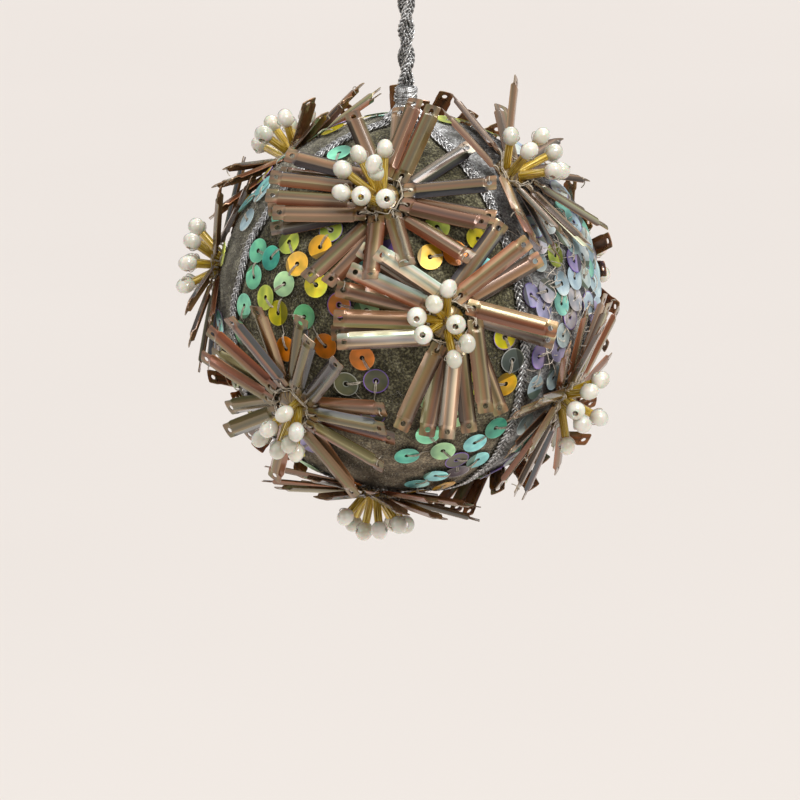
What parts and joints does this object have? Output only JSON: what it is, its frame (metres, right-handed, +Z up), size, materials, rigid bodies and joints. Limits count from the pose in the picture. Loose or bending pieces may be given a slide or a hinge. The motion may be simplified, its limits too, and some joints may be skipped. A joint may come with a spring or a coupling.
{
  "type": "beaded velvet ball ornament",
  "caption": "Velvet ball ornament with silver seam braids and raised flowers of bar sequins, gold bugle beads and ivory seed beads, hanging from a twisted silver cord.",
  "frame": {"origin": "inner top of the hanging cord's loop, where a hook or twig holds it; the ball hangs below", "axes": "+Z up along the cord, the side with the three large flowers faces -Y, +X to the viewer's right"},
  "size_m": [0.0909, 0.0938, 0.1484],
  "materials": {
    "velvet": "short olive-taupe pile",
    "silver_braid": "metallic silver thread, braided",
    "bar_sequin": "glossy iridescent taupe film",
    "gold_bugle": "silver-lined gold glass, with ivory pearl glass at the tips"
  },
  "bodies": {
    "root": {"ball": "velvet", "flower_back_bottom_left_petals": "bar_sequin", "flower_back_bottom_left_stamens": "gold_bugle", "flower_back_bottom_petals": "bar_sequin", "flower_back_bottom_stamens": "gold_bugle", "flower_back_left_petals": "bar_sequin", "flower_back_left_stamens": "gold_bugle", "flower_back_top_petals": "bar_sequin", "flower_back_top_stamens": "gold_bugle", "flower_bottom_front_petals": "bar_sequin", "flower_bottom_front_stamens": "gold_bugle", "flower_bottom_right_petals": "bar_sequin", "flower_bottom_right_stamens": "gold_bugle", "flower_front_left_petals": "bar_sequin", "flower_front_left_stamens": "gold_bugle", "flower_front_middle_petals": "bar_sequin", "flower_front_middle_stamens": "gold_bugle", "flower_front_top_petals": "bar_sequin", "flower_front_top_stamens": "gold_bugle", "flower_left_middle_petals": "bar_sequin", "flower_left_middle_stamens": "gold_bugle", "flower_left_top_petals": "bar_sequin", "flower_left_top_stamens": "gold_bugle", "flower_right_bottom_petals": "bar_sequin", "flower_right_bottom_stamens": "gold_bugle", "flower_right_middle_petals": "bar_sequin", "flower_right_middle_stamens": "gold_bugle", "flower_right_top_petals": "bar_sequin", "flower_right_top_stamens": "gold_bugle", "hanging_cord": "silver_braid", "seam_braid_1": "silver_braid", "seam_braid_2": "silver_braid", "seam_braid_3": "silver_braid", "top_knot": "silver_braid"}
  },
  "joints": []
}
